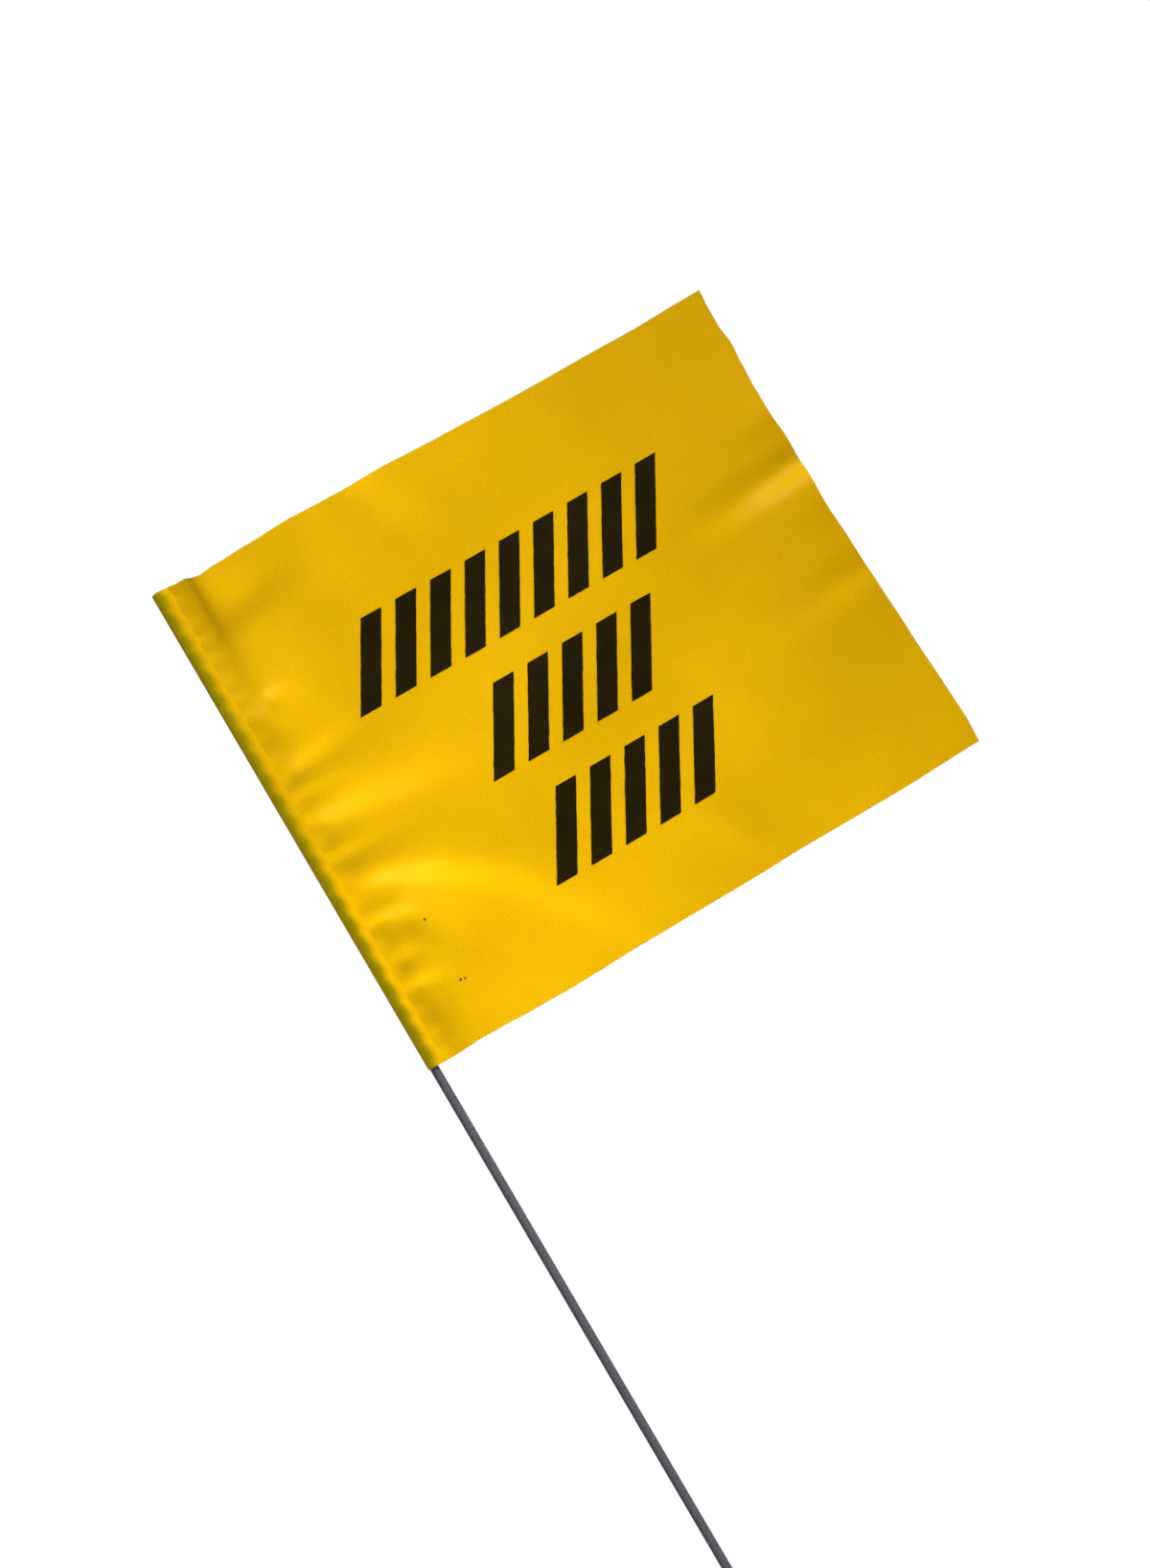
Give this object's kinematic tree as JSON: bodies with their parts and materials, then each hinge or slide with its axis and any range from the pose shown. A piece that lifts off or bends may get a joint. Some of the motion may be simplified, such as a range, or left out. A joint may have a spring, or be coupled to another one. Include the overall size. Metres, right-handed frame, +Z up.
{
  "type": "marking flag on wire staff",
  "caption": "Ground marking flag: a flat rectangle of plastic film whose hoist edge is turned round a thin straight wire staff and welded into a sleeve, so it swivels on the wire and bends.",
  "frame": {"origin": "centre of the cut face at the lower end of the wire staff", "axes": "+Z up along the staff, +X from the staff to the fly edge of the flag, printed face towards -Y"},
  "size_m": [0.12, 0.0022, 0.5349],
  "materials": {
    "drawn_steel": "satin",
    "yellow_film": "semi-gloss",
    "print_ink": "matte"
  },
  "bodies": {
    "staff": {"wire_staff": "drawn_steel"},
    "flag_hoist": {"flag_sleeve": "yellow_film", "flag_hoist_panel": "yellow_film"},
    "flag_fly": {"flag_fly_panel": "yellow_film"}
  },
  "joints": [
    {"name": "flag_swivel", "type": "hinge", "parent": "staff", "child": "flag_hoist", "pos_m": [0, 0, 0.4841], "axis": [0, 0, 1], "continuous": true},
    {"name": "film_curl", "type": "hinge", "parent": "flag_hoist", "child": "flag_fly", "pos_m": [0.06, -0.00005, 0.4841], "axis": [0, 0, 1], "range_deg": [-150, 150], "stiffness_Nm_per_rad": 0.00003}
  ]
}
